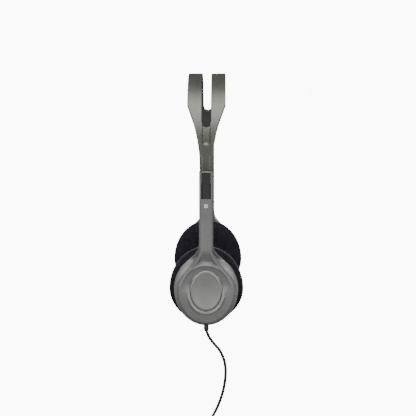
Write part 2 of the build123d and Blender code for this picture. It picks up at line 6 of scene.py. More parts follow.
import bmesh
import bpy
import numpy as np
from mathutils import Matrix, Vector


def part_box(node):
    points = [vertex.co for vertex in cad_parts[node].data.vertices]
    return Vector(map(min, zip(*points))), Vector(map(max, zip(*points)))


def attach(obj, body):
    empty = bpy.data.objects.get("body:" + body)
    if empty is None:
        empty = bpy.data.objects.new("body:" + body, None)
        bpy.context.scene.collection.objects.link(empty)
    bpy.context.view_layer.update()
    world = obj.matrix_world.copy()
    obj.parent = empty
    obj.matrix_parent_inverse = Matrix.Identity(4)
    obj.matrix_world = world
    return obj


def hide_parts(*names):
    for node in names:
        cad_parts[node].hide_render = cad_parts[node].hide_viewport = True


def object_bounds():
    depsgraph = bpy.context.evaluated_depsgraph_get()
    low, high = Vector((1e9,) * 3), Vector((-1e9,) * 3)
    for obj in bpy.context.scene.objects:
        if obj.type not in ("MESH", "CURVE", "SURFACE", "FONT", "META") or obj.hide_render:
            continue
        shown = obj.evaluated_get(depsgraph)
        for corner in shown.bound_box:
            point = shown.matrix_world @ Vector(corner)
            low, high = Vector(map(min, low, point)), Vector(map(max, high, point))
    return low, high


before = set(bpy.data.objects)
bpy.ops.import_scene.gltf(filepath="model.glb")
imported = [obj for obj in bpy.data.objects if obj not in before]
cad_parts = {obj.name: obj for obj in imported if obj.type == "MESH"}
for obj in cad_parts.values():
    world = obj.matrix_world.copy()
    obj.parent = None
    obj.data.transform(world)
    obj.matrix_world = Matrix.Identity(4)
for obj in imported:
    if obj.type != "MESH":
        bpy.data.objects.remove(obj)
cad_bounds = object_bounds()

# ------------------------------------------------------------------ camera, backdrop and lights
# The headset hangs, as on a head, in a plain white studio, seen from its left side and a little from
# above.  The scene's lengths are metres; the maker's sizes are millimetres, which mm makes metres.
mm = 0.001
pin_low, pin_high = (Vector(corner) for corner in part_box("left_pivot_pins"))
ear_z = (pin_low.z + pin_high.z) / 2

camera_right, camera_back, camera_above_ear = 11.95, 1052.5, 238.3
camera_lean, camera_turn = 10.2, 0.614      # degrees down, and to its left
camera_data = bpy.data.cameras.new("camera")
camera_data.lens = 117.5
camera_data.sensor_width = 36.0
camera_data.clip_start = 0.05
camera = bpy.data.objects.new("camera", camera_data)
camera.location = (camera_right * mm, -camera_back * mm, ear_z + camera_above_ear * mm)
camera.rotation_euler = (math.radians(90 - camera_lean), 0.0, math.radians(camera_turn))
bpy.context.scene.collection.objects.link(camera)
bpy.context.scene.camera = camera


def linear(hex_colour):
    """Linear red, green, blue and alpha of an sRGB hex colour."""
    channels = [int(hex_colour[place : place + 2], 16) / 255 for place in (1, 3, 5)]
    return [c / 12.92 if c <= 0.04045 else ((c + 0.055) / 1.055) ** 2.4 for c in channels] + [1.0]


def add_node(tree, kind, inputs=(), **settings):
    """Adds one node, sets its properties, and links or sets each named input."""
    made = tree.nodes.new(kind)
    for name, value in settings.items():
        setattr(made, name, value)
    for name, value in dict(inputs).items():
        if isinstance(value, bpy.types.NodeSocket):
            tree.links.new(value, made.inputs[name])
        else:
            made.inputs[name].default_value = value
    return made


def new_material(name):
    """An empty node material with its shader and its node tree."""
    made = bpy.data.materials.new(name)
    made.use_nodes = True
    return made, made.node_tree.nodes["Principled BSDF"], made.node_tree


def mesh_object(name, points, faces, material, smooth=True):
    """A mesh object at the origin from plain lists of points and faces."""
    mesh = bpy.data.meshes.new(name)
    mesh.from_pydata([tuple(p) for p in points], [], [tuple(f) for f in faces])
    mesh.validate()
    mesh.materials.append(material)
    if smooth:
        mesh.shade_smooth()
    made = bpy.data.objects.new(name, mesh)
    bpy.context.scene.collection.objects.link(made)
    return made


# The backdrop is a matt white board, lit to pure white, that stands well behind the headset.  A pale
# round studio wall closes the rest of the room.  Neither throws light or reflections on the headset.


def lit_matt_paint(name, strength):
    """Matt white paint under studio light, as bright as the given strength."""
    made, shader, _ = new_material(name)
    shader.inputs["Base Color"].default_value = linear("#f6f6f6")
    shader.inputs["Roughness"].default_value = 0.9
    shader.inputs["Emission Color"].default_value = linear("#ffffff")
    shader.inputs["Emission Strength"].default_value = strength
    return made


def set_stage(piece):
    """Marks a piece as stage that shows plainly but lights and shades nothing."""
    piece.visible_diffuse = False
    piece.visible_glossy = False
    piece.visible_shadow = False


board_half = 0.52
board_back = 1.4
board_height = -0.35
board_glow = 10.0
board_corners = []
for across, up in ((-1, -1), (1, -1), (1, 1), (-1, 1)):
    board_corners.append((across * board_half, board_back, board_height + up * board_half))
board_paint = lit_matt_paint("lit matt white studio board", board_glow)
backdrop = mesh_object("backdrop", board_corners, [(0, 1, 2, 3)], board_paint)
set_stage(backdrop)

wall_radius = 6.0
wall_sides = 48
wall_glow = 1.2
wall_points = []
for wall_height in (-wall_radius, wall_radius):
    for corner in range(wall_sides):
        angle = 2 * math.pi * corner / wall_sides
        wall_points.append((wall_radius * math.cos(angle), wall_radius * math.sin(angle), wall_height))
wall_faces = [(i + 1, i, i + wall_sides, i + 1 + wall_sides) for i in range(wall_sides - 1)]
wall_faces.append((0, wall_sides - 1, 2 * wall_sides - 1, wall_sides))
wall_faces.append(tuple(range(wall_sides)))
wall_faces.append(tuple(reversed(range(wall_sides, 2 * wall_sides))))
wall_paint = lit_matt_paint("pale matt studio wall", wall_glow)
wall = mesh_object("studio_wall", wall_points, wall_faces, wall_paint, smooth=False)
set_stage(wall)

world = bpy.data.worlds.new("studio")
world.use_nodes = True
world.node_tree.nodes["Background"].inputs["Color"].default_value = linear("#ffffff")
world.node_tree.nodes["Background"].inputs["Strength"].default_value = 0.2
bpy.context.scene.world = world


def soft_light(name, place, aim, size, power):
    """A square area light that faces a point."""
    data = bpy.data.lights.new(name, "AREA")
    data.size = size
    data.energy = power
    light = bpy.data.objects.new(name, data)
    light.location = place
    direction = Vector(aim) - Vector(place)
    light.rotation_euler = direction.to_track_quat("-Z", "Y").to_euler()
    bpy.context.scene.collection.objects.link(light)


middle = (0, 0, ear_z / 2)
soft_light("overhead_box", (0.0, -0.2, 1.1), middle, 1.0, 16)
soft_light("fill_left", (-0.8, -1.2, 0.25), middle, 0.6, 8.5)
soft_light("fill_right", (0.8, -1.2, 0.25), middle, 0.6, 8.5)
soft_light("strip_left", (-1.1, 0.0, -0.45), middle, 0.4, 1.0)
soft_light("strip_right", (1.1, -0.1, -0.45), middle, 0.4, 1.0)

# ------------------------------------------------------------------ cord
# The cord is a 2.3 mm round lead in soft black PVC, 1.8 m long.  It swings out of the strain relief,
# hangs to a tied coil of twenty turns, and ends in the plug.
cord_diameter = 2.3 * mm
lead_route = [
    (0.2, -68.0, -32.4),
    (1.6, -68.0, -36.2),
    (5.0, -68.0, -41.4),
    (11.0, -68.3, -47.6),
    (15.2, -69.0, -59.5),
    (13.8, -70.0, -76.0),
    (8.8, -71.0, -91.0),
    (2.6, -71.4, -102.0),
    (-5.3, -71.45, -107.6),
]
tail_route = [
    (-8.9, -62.6, -122.5),
    (-8.8, -60.7, -129.0),
    (-8.6, -60.3, -135.0),
]
coil_middle = (0.0, -68.0, -125.0)
coil_outer_turn = 18.25
coil_layers = 5
turns_across = 4
points_a_turn = 16
turn_pitch = 2.3


def coil_points():
    """Points round the coil, layer by layer from the outside in, to and fro across it."""
    points = []
    first = math.radians(-40)
    turns = coil_layers * turns_across
    steps = turns * points_a_turn + 1
    for step in range(steps):
        angle = first - 2 * math.pi * step / points_a_turn
        turn, along = divmod(step / points_a_turn, 1.0)
        layer, place = divmod(min(int(turn), turns - 1), turns_across)
        slide = max(0.0, (along - 0.75) / 0.25)
        column = place if layer % 2 == 0 else turns_across - 1 - place
        radius = coil_outer_turn - turn_pitch * layer
        if place < turns_across - 1:
            column += slide if layer % 2 == 0 else -slide
        elif layer < coil_layers - 1:
            radius -= turn_pitch * slide
        points.append(
            (
                coil_middle[0] + radius * math.sin(angle),
                coil_middle[1] + turn_pitch * (column - (turns_across - 1) / 2),
                coil_middle[2] + radius * math.cos(angle),
            )
        )
    return points


jacket, jacket_shader, jacket_tree = new_material("extruded black PVC cord jacket")
# Soft PVC straight from the die: near black, with a dull sheen that clouds over about 6 mm, and a
# faint grain, drawn 0.4 mm apart so that it shows.
jacket_shader.inputs["Roughness"].default_value = 0.42
jacket_shader.inputs["IOR"].default_value = 1.52
jacket_place = add_node(jacket_tree, "ShaderNodeTexCoord").outputs["Object"]
jacket_cloud = add_node(
    jacket_tree,
    "ShaderNodeTexNoise",
    {"Vector": jacket_place, "Scale": 180.0, "Detail": 3.0},
)
jacket_tint = add_node(jacket_tree, "ShaderNodeValToRGB", {"Fac": jacket_cloud.outputs["Fac"]})
jacket_tint.color_ramp.elements[0].color = linear("#0b0b0c")
jacket_tint.color_ramp.elements[1].color = linear("#1b1b1d")
jacket_tree.links.new(jacket_tint.outputs["Color"], jacket_shader.inputs["Base Color"])
jacket_grain = add_node(
    jacket_tree,
    "ShaderNodeTexNoise",
    {"Vector": jacket_place, "Scale": 1000 / 0.4, "Detail": 2.0},
)
jacket_bump = add_node(
    jacket_tree,
    "ShaderNodeBump",
    {"Height": jacket_grain.outputs["Fac"], "Strength": 0.12, "Distance": 0.05 * mm},
)
jacket_tree.links.new(jacket_bump.outputs["Normal"], jacket_shader.inputs["Normal"])

cord_route = lead_route + coil_points() + tail_route
cord_curve = bpy.data.curves.new("cord", "CURVE")
cord_curve.dimensions = "3D"
cord_curve.bevel_depth = cord_diameter / 2
cord_curve.bevel_resolution = 4
cord_curve.resolution_u = 5
cord_curve.use_fill_caps = True
cord_spline = cord_curve.splines.new("NURBS")
cord_spline.points.add(len(cord_route) - 1)
for point, (x, y, z) in zip(cord_spline.points, cord_route):
    point.co = (x * mm, y * mm, ear_z + z * mm, 1.0)
cord_spline.order_u = 3
cord_spline.use_endpoint_u = True
cord_curve.materials.append(jacket)
cord = bpy.data.objects.new("cord", cord_curve)
bpy.context.scene.collection.objects.link(cord)
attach(cord, "left_arm")
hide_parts("cord_lead", "cord_coil", "cord_tail")

# ------------------------------------------------------------------ headband shell
# The shell is one springy ABS moulding: two strips over the head that run together into a narrow
# neck above each arm.  A scooped groove ends the slot, and a shallow panel lies in each neck.
span = 73.0                     # half the width outside, at the ends of the arch
spring = 86.0                   # height above the ear where the arch starts to lean in
crown = cad_bounds[1][2] / mm - ear_z / mm
rise = crown - spring
band_end = 89.6
shell_thick = 2.6
lining_thick = 1.2
slot_half = 3.3
slot_round = 124.1              # height of the centre of the slot's round end
edge_round = 0.5
lining_round = 0.4
neck_rows = 88                  # rows of the mesh from the band's end to the slot's round end
arch_rows = 60                  # rows from there to the crown
strip_columns = 8               # columns between the rounded edges of a strip
band_widths = [(89.6, 4.7), (100.7, 5.05), (111.9, 6.6), (123.0, 9.3), (129.5, 11.75), (136.4, 14.4)]
edge_steps = (0.0, 0.05, 0.15, 0.3, 0.5)


def smoothstep(low, high, value):
    """0 below low, 1 above high and a smooth rise between; it falls where high is under low."""
    part = np.clip((value - low) / (high - low), 0.0, 1.0)
    return part * part * (3 - 2 * part)


def through(table, at):
    """A smooth curve through (place, value) pairs, level beyond its ends."""
    places, values = (np.array(column, float) for column in zip(*table))
    slopes = np.gradient(values, places)
    at = np.clip(at, places[0], places[-1])
    index = np.clip(np.searchsorted(places, at) - 1, 0, len(places) - 2)
    gap = places[index + 1] - places[index]
    part = (at - places[index]) / gap
    return (
        values[index] * (1 + 2 * part) * (1 - part) ** 2
        + slopes[index] * gap * part * (1 - part) ** 2
        + values[index + 1] * part**2 * (3 - 2 * part)
        + slopes[index + 1] * gap * part**2 * (part - 1)
    )


def rounding(distance, radius):
    """How far a rounded edge has dropped at a distance from that edge."""
    near = np.clip(radius - np.asarray(distance, float), 0.0, radius)
    return radius - np.sqrt(np.maximum(radius**2 - near**2, 0.0))


def on_arch(x, height, inset, side):
    """The point of the arch at a height above the ear, a given depth under its outer face."""
    part = np.clip((height - spring) / rise, -1.0, 1.0)
    angle = math.asin(part)
    normal = Vector((0, side * math.cos(angle) / span, math.sin(angle) / rise)).normalized()
    place = Vector((x, side * span * math.cos(angle), spring + rise * math.sin(angle)))
    place -= normal * inset
    return (place.x * mm, place.y * mm, ear_z + place.z * mm)


def band_sheet(top_inset, bottom_inset, shrink, groove, round_top):
    """Two matching sheets of the band, outer and inner, and the faces of one of them.

    Each row of the mesh crosses the two strips.  Above each arm, a middle part joins them up to the
    slot's round end.  groove gives how far the middle part is pressed in at each place."""
    half_rows = [band_end + (slot_round - band_end) * i / neck_rows for i in range(neck_rows + 1)]
    lean = math.asin((slot_round - spring) / rise)
    for i in range(1, arch_rows + 1):
        half_rows.append(spring + rise * math.sin(lean + (math.pi / 2 - lean) * i / arch_rows))
    rows = [(-1, height) for height in half_rows] + [(1, height) for height in reversed(half_rows[:-1])]
    tops, bottoms, faces = [], [], []

    def put(x, height, side, drop):
        top_drop = drop if round_top else 0.0
        bottom_drop = 0.0 if round_top else min(drop, lining_round)
        tops.append(on_arch(x, height, top_inset + top_drop, side))
        bottoms.append(on_arch(x, height, bottom_inset - bottom_drop, side))
        return len(tops) - 1

    def weave(grid):
        for low_row, high_row in zip(grid, grid[1:]):
            for i in range(len(low_row) - 1):
                faces.append((low_row[i], low_row[i + 1], high_row[i + 1], high_row[i]))

    hole = slot_half + shrink
    for strip in (-1, 1):
        grid = []
        for side, height in rows:
            width = float(through(band_widths, height)) - shrink
            inner = [hole + step for step in edge_steps]
            outer = [width - step for step in reversed(edge_steps)]
            between = list(np.linspace(inner[-1], outer[0], strip_columns)[1:-1])
            line = []
            for x in inner + between + outer:
                drop = float(rounding(width - x, edge_round))
                if height >= slot_round:
                    drop = max(drop, float(rounding(x - hole, edge_round)))
                line.append(put(strip * x, height, side, drop))
            grid.append(line if strip > 0 else line[::-1])
        weave(grid)
    xs = [hole * math.sin(math.radians(6 * i)) for i in range(-15, 16)]
    for end in (-1, 1):
        grid = []
        for i in range(neck_rows + 1):
            line = []
            for x in xs:
                top = slot_round - math.sqrt(max(hole**2 - x**2, 0.0))
                height = band_end + (top - band_end) * i / neck_rows
                line.append(put(x, height, end, groove(x, height)))
            grid.append(line)
        weave(grid if end < 0 else grid[::-1])
    return np.array(tops), np.array(bottoms), faces


def band_groove(x, height):
    """Depth of the scoop under the slot and of the neck's shallow panel."""
    scoop_middle, scoop_half, scoop_deep = 110.8, 3.15, 1.2
    side_run, end_run = 0.55, 2.6
    below = min(height - scoop_middle, 0.0)
    away = max(math.hypot(x, below), 0.001)
    run = side_run + (end_run - side_run) * (below / away) ** 2
    scoop = scoop_deep * smoothstep(0.0, run, scoop_half - away)
    panel_half, panel_deep, panel_top = 3.0, 0.1, 101.2
    panel = panel_deep * smoothstep(0.0, 0.5, panel_half - abs(x))
    panel = panel * smoothstep(panel_top, panel_top - 1.0, height)
    return float(max(scoop, panel))


def closed_shell(name, tops, bottoms, faces, material):
    """A closed piece from two matching sheets: the top faces, the turned bottom faces and the rim.

    Points of the top sheet that lie together are welded, with their partners below."""
    weld = 0.004 * mm
    keys, order, first = {}, [], []
    for index, point in enumerate(tops):
        key = tuple(np.round(point / weld).astype(int))
        if key not in keys:
            keys[key] = len(first)
            first.append(index)
        order.append(keys[key])
    merged = []
    for face in faces:
        corners = [order[i] for i in face]
        kept = [c for place, c in enumerate(corners) if c != corners[place - 1]]
        if len(set(kept)) > 2:
            merged.append(kept)
    count = len(first)
    sides = {}
    for face in merged:
        for a, b in zip(face, face[1:] + face[:1]):
            sides[(a, b)] = sides.get((a, b), 0) + 1
    rim = [(b, a, a + count, b + count) for a, b in sides if (b, a) not in sides]
    points = np.concatenate([tops[first], bottoms[first]])
    turned = [[corner + count for corner in reversed(face)] for face in merged]
    made = mesh_object(name, points, merged + turned + rim, material)
    shaper = bmesh.new()
    shaper.from_mesh(made.data)
    bmesh.ops.delete(shaper, geom=[v for v in shaper.verts if not v.link_faces], context="VERTS")
    bmesh.ops.recalc_face_normals(shaper, faces=shaper.faces)
    shaper.to_mesh(made.data)
    shaper.free()
    made.data.shade_smooth()
    made.data.set_sharp_from_angle(angle=math.radians(38))
    return made


def moulded_plastic(name, light_hex, dark_hex, roughness, flake, grain_mm=0.35, bump=0.25):
    """Injection-moulded plastic: a fine spark-eroded grain, slight flow clouds, and flake in the tint.

    The clouds are about 22 mm across.  Real flake and grain are a tenth as big as drawn: the flake
    is drawn 0.5 mm across, and the grain grain_mm, so that both show."""
    made, shader, tree = new_material(name)
    flake_mm = 0.5
    place = add_node(tree, "ShaderNodeTexCoord").outputs["Object"]
    clouds = add_node(tree, "ShaderNodeTexNoise", {"Vector": place, "Scale": 45.0, "Detail": 3.0})
    flakes = add_node(tree, "ShaderNodeTexVoronoi", {"Vector": place, "Scale": 1000 / flake_mm}, feature="F1")
    flake_share = add_node(tree, "ShaderNodeSeparateColor", {"Color": flakes.outputs["Color"]}).outputs["Red"]
    mixed = add_node(
        tree,
        "ShaderNodeMix",
        {"Factor": flake, "A": clouds.outputs["Fac"], "B": flake_share},
    )
    tint = add_node(tree, "ShaderNodeValToRGB", {"Fac": mixed.outputs["Result"]})
    tint.color_ramp.elements[0].position = 0.3
    tint.color_ramp.elements[0].color = linear(dark_hex)
    tint.color_ramp.elements[1].position = 0.7
    tint.color_ramp.elements[1].color = linear(light_hex)
    tree.links.new(tint.outputs["Color"], shader.inputs["Base Color"])
    grain = add_node(tree, "ShaderNodeTexNoise", {"Vector": place, "Scale": 1000 / grain_mm, "Detail": 2.0})
    wear = add_node(
        tree,
        "ShaderNodeMapRange",
        {"Value": clouds.outputs["Fac"], "To Min": roughness - 0.05, "To Max": roughness + 0.07},
    )
    tree.links.new(wear.outputs["Result"], shader.inputs["Roughness"])
    lift = add_node(
        tree,
        "ShaderNodeBump",
        {"Height": grain.outputs["Fac"], "Strength": bump, "Distance": 0.03 * mm},
    )
    tree.links.new(lift.outputs["Normal"], shader.inputs["Normal"])
    shader.inputs["IOR"].default_value = 1.52
    return made, shader


# Silver-grey ABS with fine aluminium flake, satin from the tool: it reads as a soft, even grey metal.
band_abs, band_abs_shader = moulded_plastic("silver-grey moulded ABS, band", "#666761", "#595a54", 0.42, 0.3)
band_abs_shader.inputs["Metallic"].default_value = 0.85
tops, bottoms, faces = band_sheet(0.0, shell_thick, 0.0, band_groove, True)
band = closed_shell("band_shell", tops, bottoms, faces, band_abs)
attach(band, "headband")
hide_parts("headband_shell")

# ------------------------------------------------------------------ headband lining
# A soft rubbery strip under the shell touches the hair.  It has the shell's outline, a little smaller,
# and is pressed into it; its edge shows as a thin dark line.
lining_rubber, _ = moulded_plastic("dark soft-touch TPE lining", "#4a4742", "#3c3a36", 0.7, 0.1, 0.6, 0.35)
tops, bottoms, faces = band_sheet(shell_thick, shell_thick + lining_thick, 0.25, lambda x, height: 0.0, False)
lining = closed_shell("band_lining", tops, bottoms, faces, lining_rubber)
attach(lining, "headband")
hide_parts("headband_liner")

# ------------------------------------------------------------------ arms and ear shells
# Each arm, from its sleeve to the egg-shaped ear shell, is one ABS moulding.  A raised face sweeps
# from the arm round the shell like a racket; inside it lie the cap's seat and a ribbed horseshoe.
# Sizes are millimetres: heights from the ear's centre, and depths from the middle of the head.
shell_half = (24.0, 28.2)
shell_above = 26.0
shell_flare = [(8, 22.85), (12, 21.3), (17, 18.25), (20, 15.4), (22.5, 12.4), (26, 8.6), (29, 6.4), (34, 5.2)]
shell_crown = 5.6               # how far the shell is crowned above its widest line
shell_wall, arm_wall = 1.3, 0.7
widest_depth = 67.6
rim_depth = 64.6
arm_half = 5.2
arm_top = 89.1
arm_depth = 72.4                # depth of the arm's sides, where they meet its raised face
arm_back = 68.6
arm_face_half = 4.25
top_corner = 0.8                # rounding of the arm's top corners, seen from outside
face_half = (20.7, 25.0)
face_depth = 74.4
face_fall = 0.9                 # how far the raised face falls away towards its edge
racket_low, racket_rise = 1.0, 29.0     # where the racket starts to narrow, and over what height
hollow_deep = 2.3               # how far the face dips between the arm and the horseshoe
recess_half = (18.0, 18.6)
horseshoe_step, horseshoe_slope = 0.5, 0.24
rib_height, rib_pitch = 0.12, 1.3
cap_half = (11.7, 15.3)
cap_seat = 72.9
lip_crest, lip_width = 75.4, 2.2
hub_dish = 1.2
window_half = 3.5
window_rows = (68.8, 80.6)
clip_half = 3.4
clip_top = 88.3
clip_seat = 1.0
shell_rows, stem_rows, face_columns, closing_rows = 110, 120, 121, 5


def outline_half(height):
    """Half the width of the arm and shell at a height."""
    lower = shell_half[0] * np.sqrt(np.maximum(1 - (height / shell_half[1]) ** 2, 0.0))
    middle = shell_half[0] * np.sqrt(np.maximum(1 - (height / shell_above) ** 2, 0.0))
    upper = through(shell_flare, height) - rounding(arm_top - height, top_corner)
    return np.where(height < 0, lower, np.where(height < 8, middle, upper))


def oval_inside(x, height, half):
    """Distance inside an oval's edge, nearly; negative outside it."""
    reach = np.sqrt((x / half[0]) ** 2 + (height / half[1]) ** 2)
    steep = np.sqrt((x / half[0] ** 2) ** 2 + (height / half[1] ** 2) ** 2)
    return np.where(steep > 1e-6, reach * (1 - reach) / np.maximum(steep, 1e-6), min(half))


def racket_inside(x, height):
    """Distance inside the edge of the raised face."""
    turn = np.clip((height - racket_low) / racket_rise, 0.0, 1.0) * math.pi
    half = arm_face_half + (face_half[0] - arm_face_half) * (1 + np.cos(turn)) / 2
    slope = (face_half[0] - arm_face_half) / 2 * np.sin(turn) * math.pi / racket_rise
    upper = (half - np.abs(x)) / np.sqrt(1 + slope**2)
    return np.where(height < 0, oval_inside(x, height, face_half), upper)


def cap_lip(outside, plain):
    """Depth of the raised rim round the cap: a slope up to its crest, then a short drop."""
    slope = face_depth + (lip_crest - face_depth) * outside / lip_width
    drop = plain + (lip_crest - plain) * smoothstep(lip_width + 1.0, lip_width + 0.1, outside)
    return np.where(outside < lip_width, slope, drop)


def front_depth(x, height, with_hub):
    """Depth of the arm's outer face at each place: the shell's crown, the raised face, the hub's dish
    or the horseshoe with the cap's seat, and the seat of the click clip."""
    below = np.where(height < 0, height / shell_half[1], height / shell_above)
    reach = np.minimum((x / shell_half[0]) ** 2 + below**2, 1.0)
    edge = widest_depth + (arm_depth - widest_depth) * smoothstep(20.0, 34.0, height)
    base = edge + shell_crown * (1 - reach) ** 0.55 * smoothstep(26.0, 16.0, height)
    inside = racket_inside(x, height)
    face_reach = np.minimum((x / face_half[0]) ** 2 + (height / face_half[1]) ** 2, 1.0)
    crown_fall = face_fall * face_reach**1.5 * smoothstep(26.0, 8.0, height)
    crest = smoothstep(0.3, 3.0, -oval_inside(x, height, recess_half))
    dip = hollow_deep * smoothstep(30.5, 20.5, height) * smoothstep(4.0, 12.0, height)
    dip = dip * crest * smoothstep(0.5, 2.2, inside)
    face = face_depth - crown_fall - dip - rounding(inside, 0.55) - 3.2 * np.maximum(-inside, 0.0)
    depth = (base + face + np.sqrt((base - face) ** 2 + 0.02)) / 2
    if with_hub:
        dish = oval_inside(x, height, (recess_half[0], recess_half[0]))
        depth = depth - hub_dish * smoothstep(0.0, 0.7, dish)
    else:
        recess = oval_inside(x, height, recess_half)
        ends = smoothstep(-6.0, 6.0, height)
        ribs = rib_height * np.sin(recess * 2 * math.pi / rib_pitch) * smoothstep(0.8, 1.4, recess)
        sunk = horseshoe_step * smoothstep(0.0, 0.4, recess) + horseshoe_slope * np.maximum(recess, 0.0)
        depth = depth - (sunk + ribs) * ends
        around = oval_inside(x, height, cap_half)
        depth = depth + (cap_lip(-around, depth) - depth) * smoothstep(3.0, -8.0, height)
        depth = depth + (cap_seat - depth) * smoothstep(-0.3, 0.0, around)
    seat = smoothstep(0.0, 0.12, clip_half - np.abs(x))
    seat = seat * smoothstep(window_rows[1] - 0.2, window_rows[1], height)
    seat = seat * smoothstep(clip_top + 0.1, clip_top - 0.1, height)
    depth = depth - clip_seat * seat
    return depth - rounding(arm_top - height, 0.35)


def arm_piece(name, side, with_hub, material):
    """One arm with its ear shell, as a thin-walled closed piece.

    Rows of the mesh run across, from the shell's bottom to the arm's top, with the side walls at
    both ends of each row.  The last rows close the arm's top, and the window is left open."""
    ring_rows = -shell_half[1] * np.cos(np.linspace(0, 0.72 * math.pi, shell_rows))
    arm_rows = np.linspace(ring_rows[-1], arm_top - 1.0, stem_rows)[1:]
    heights = np.concatenate([ring_rows, arm_rows, arm_top - np.array([0.8, 0.6, 0.4, 0.25, 0.1, 0.0])])
    extra_rows = [*window_rows, window_rows[1] - 0.2, clip_top + 0.1, clip_top - 0.1]
    extra_rows += list(np.linspace(18.7, 21.3, 9))     # finer over the crest above the horseshoe
    heights = np.unique(np.round(np.concatenate([heights, extra_rows]), 2))
    steps = np.linspace(-1, 1, face_columns)
    snap = np.abs(steps - window_half / arm_half).argmin()
    skirt = np.array([0.04, 0.12, 0.3, 0.5, 0.7, 0.85, 1.0])
    last = len(heights) - 1
    points, grid = [], []
    for row in range(last + 1 + closing_rows):
        height = heights[min(row, last)]
        back = rim_depth + (arm_back - rim_depth) * float(smoothstep(22.0, 34.0, height))
        ring_share = float(smoothstep(28.0, 16.0, height))
        xs = steps * float(outline_half(height))
        if window_rows[0] - 0.01 <= height <= window_rows[1] + 0.01:
            xs[snap], xs[-1 - snap] = window_half, -window_half
        depths = front_depth(xs, height, with_hub)
        fall = max(0, row - last) / closing_rows
        depths = depths + (back - depths) * fall
        narrow = 1 - 0.05 * ring_share * skirt**2
        sides = [(xs[0] * n, depths[0] + (back - depths[0]) * s, height * n) for n, s in zip(narrow, skirt)]
        line = sides[::-1] + [(x, depth, height) for x, depth in zip(xs, depths)]
        line += [(-x, depth, h) for x, depth, h in sides]
        grid.append(range(len(points), len(points) + len(line)))
        points += [(x * mm, side * depth * mm, ear_z + h * mm) for x, depth, h in line]
    faces = []
    first_open = len(skirt) + len(steps) - 1 - snap
    last_open = len(skirt) + snap
    for row in range(len(grid) - 1):
        in_rows = row < last and window_rows[0] < (heights[row] + heights[row + 1]) / 2 < window_rows[1]
        for column in range(len(grid[0]) - 1):
            if in_rows and first_open <= column < last_open:
                continue
            low, high = grid[row], grid[row + 1]
            faces.append((low[column], low[column + 1], high[column + 1], high[column]))
    tops = np.array(points)
    across_rows = tops.reshape(len(grid), -1, 3)
    normals = np.cross(np.gradient(across_rows, axis=1), np.gradient(across_rows, axis=0)).reshape(-1, 3)
    lengths = np.linalg.norm(normals, axis=1)
    flat = lengths < 1e-12
    normals[flat] = (0.0, side, 0.0)
    lengths[flat] = 1.0
    normals /= lengths[:, None]
    outward = np.sign((normals[:, 1] * side).sum())
    wall = shell_wall - (shell_wall - arm_wall) * smoothstep(22.0, 34.0, (tops[:, 2] - ear_z) / mm)
    bottoms = tops - outward * normals * wall[:, None] * mm
    return closed_shell(name, tops, bottoms, faces, material)


arm_abs, arm_abs_shader = moulded_plastic("silver-grey moulded ABS, arms", "#8c8c8b", "#7c7c7b", 0.46, 0.3)
arm_abs_shader.inputs["Metallic"].default_value = 0.4
for side, ear in ((-1, "left"), (1, "right")):
    arm = arm_piece(f"{ear}_arm_moulding", side, ear == "right", arm_abs)
    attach(arm, f"{ear}_arm")
    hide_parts(f"{ear}_arm_shell")

# ------------------------------------------------------------------ ear cap
# The cap on the left ear is an egg-shaped ABS plate in a lighter silver.  Its face is very slightly
# dished, so it shades from dark at the top to bright low down, and its rounded edge catches the light.
cap_name = "light silver moulded ABS, ear cap"
cap_abs, cap_abs_shader = moulded_plastic(cap_name, "#a2a2a1", "#939392", 0.38, 0.3)
cap_abs_shader.inputs["Metallic"].default_value = 0.4
cap_spokes = 96
cap_floor, cap_edge, cap_dish, cap_lean = 72.95, 75.5, 1.5, 1.0
cap_fillet = 0.9
cap_pointed = 0.07              # how much narrower the cap is towards its top
cap_rings = [(1.0, cap_floor), (1.0, cap_edge - cap_fillet)]
for step in range(1, 7):
    lean = math.radians(15 * step)
    inset = cap_fillet * (1 - math.cos(lean)) / cap_half[0]
    cap_rings.append((1.0 - inset, cap_edge - cap_fillet * (1 - math.sin(lean))))
for share in (0.88, 0.8, 0.7, 0.6, 0.5, 0.4, 0.3, 0.2, 0.1):
    cap_rings.append((share, cap_edge - cap_dish * (1 - (share / 0.92) ** 2)))
cap_points = [(0.0, -cap_floor * mm, ear_z)]
for share, depth in cap_rings:
    for spoke in range(cap_spokes):
        angle = 2 * math.pi * spoke / cap_spokes
        pointed = 1 - cap_pointed * max(math.sin(angle), 0.0) ** 2
        x = share * cap_half[0] * math.cos(angle) * pointed
        z = share * cap_half[1] * math.sin(angle)
        leaned = depth - (cap_lean / 2 * (1 - z / cap_half[1]) if depth > cap_floor else 0.0)
        cap_points.append((x * mm, -leaned * mm, ear_z + z * mm))
cap_points.append((0.0, -(cap_edge - cap_dish - cap_lean / 2) * mm, ear_z))


def fan_rings(ring_count, spokes):
    """Faces of stacked rings that start and end in a point: point 0, the rings, then the last point."""
    faces = []
    for spoke in range(spokes):
        after = (spoke + 1) % spokes
        faces.append((0, 1 + spoke, 1 + after))
        for ring in range(ring_count - 1):
            low, high = 1 + ring * spokes, 1 + (ring + 1) * spokes
            faces.append((low + spoke, high + spoke, high + after, low + after))
        top = 1 + (ring_count - 1) * spokes
        faces.append((top + spoke, top + spokes, top + after))
    return faces


def closed_fan(name, points, ring_count, spokes, material):
    """A closed smooth piece of stacked rings with its normals outward."""
    made = mesh_object(name, points, fan_rings(ring_count, spokes), material)
    shaper = bmesh.new()
    shaper.from_mesh(made.data)
    bmesh.ops.recalc_face_normals(shaper, faces=shaper.faces)
    shaper.to_mesh(made.data)
    shaper.free()
    made.data.shade_smooth()
    return made


cap = closed_fan("ear_cap", cap_points, len(cap_rings), cap_spokes, cap_abs)
cap.data.set_sharp_from_angle(angle=math.radians(50))
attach(cap, "left_arm")
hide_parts("left_ear_cap")

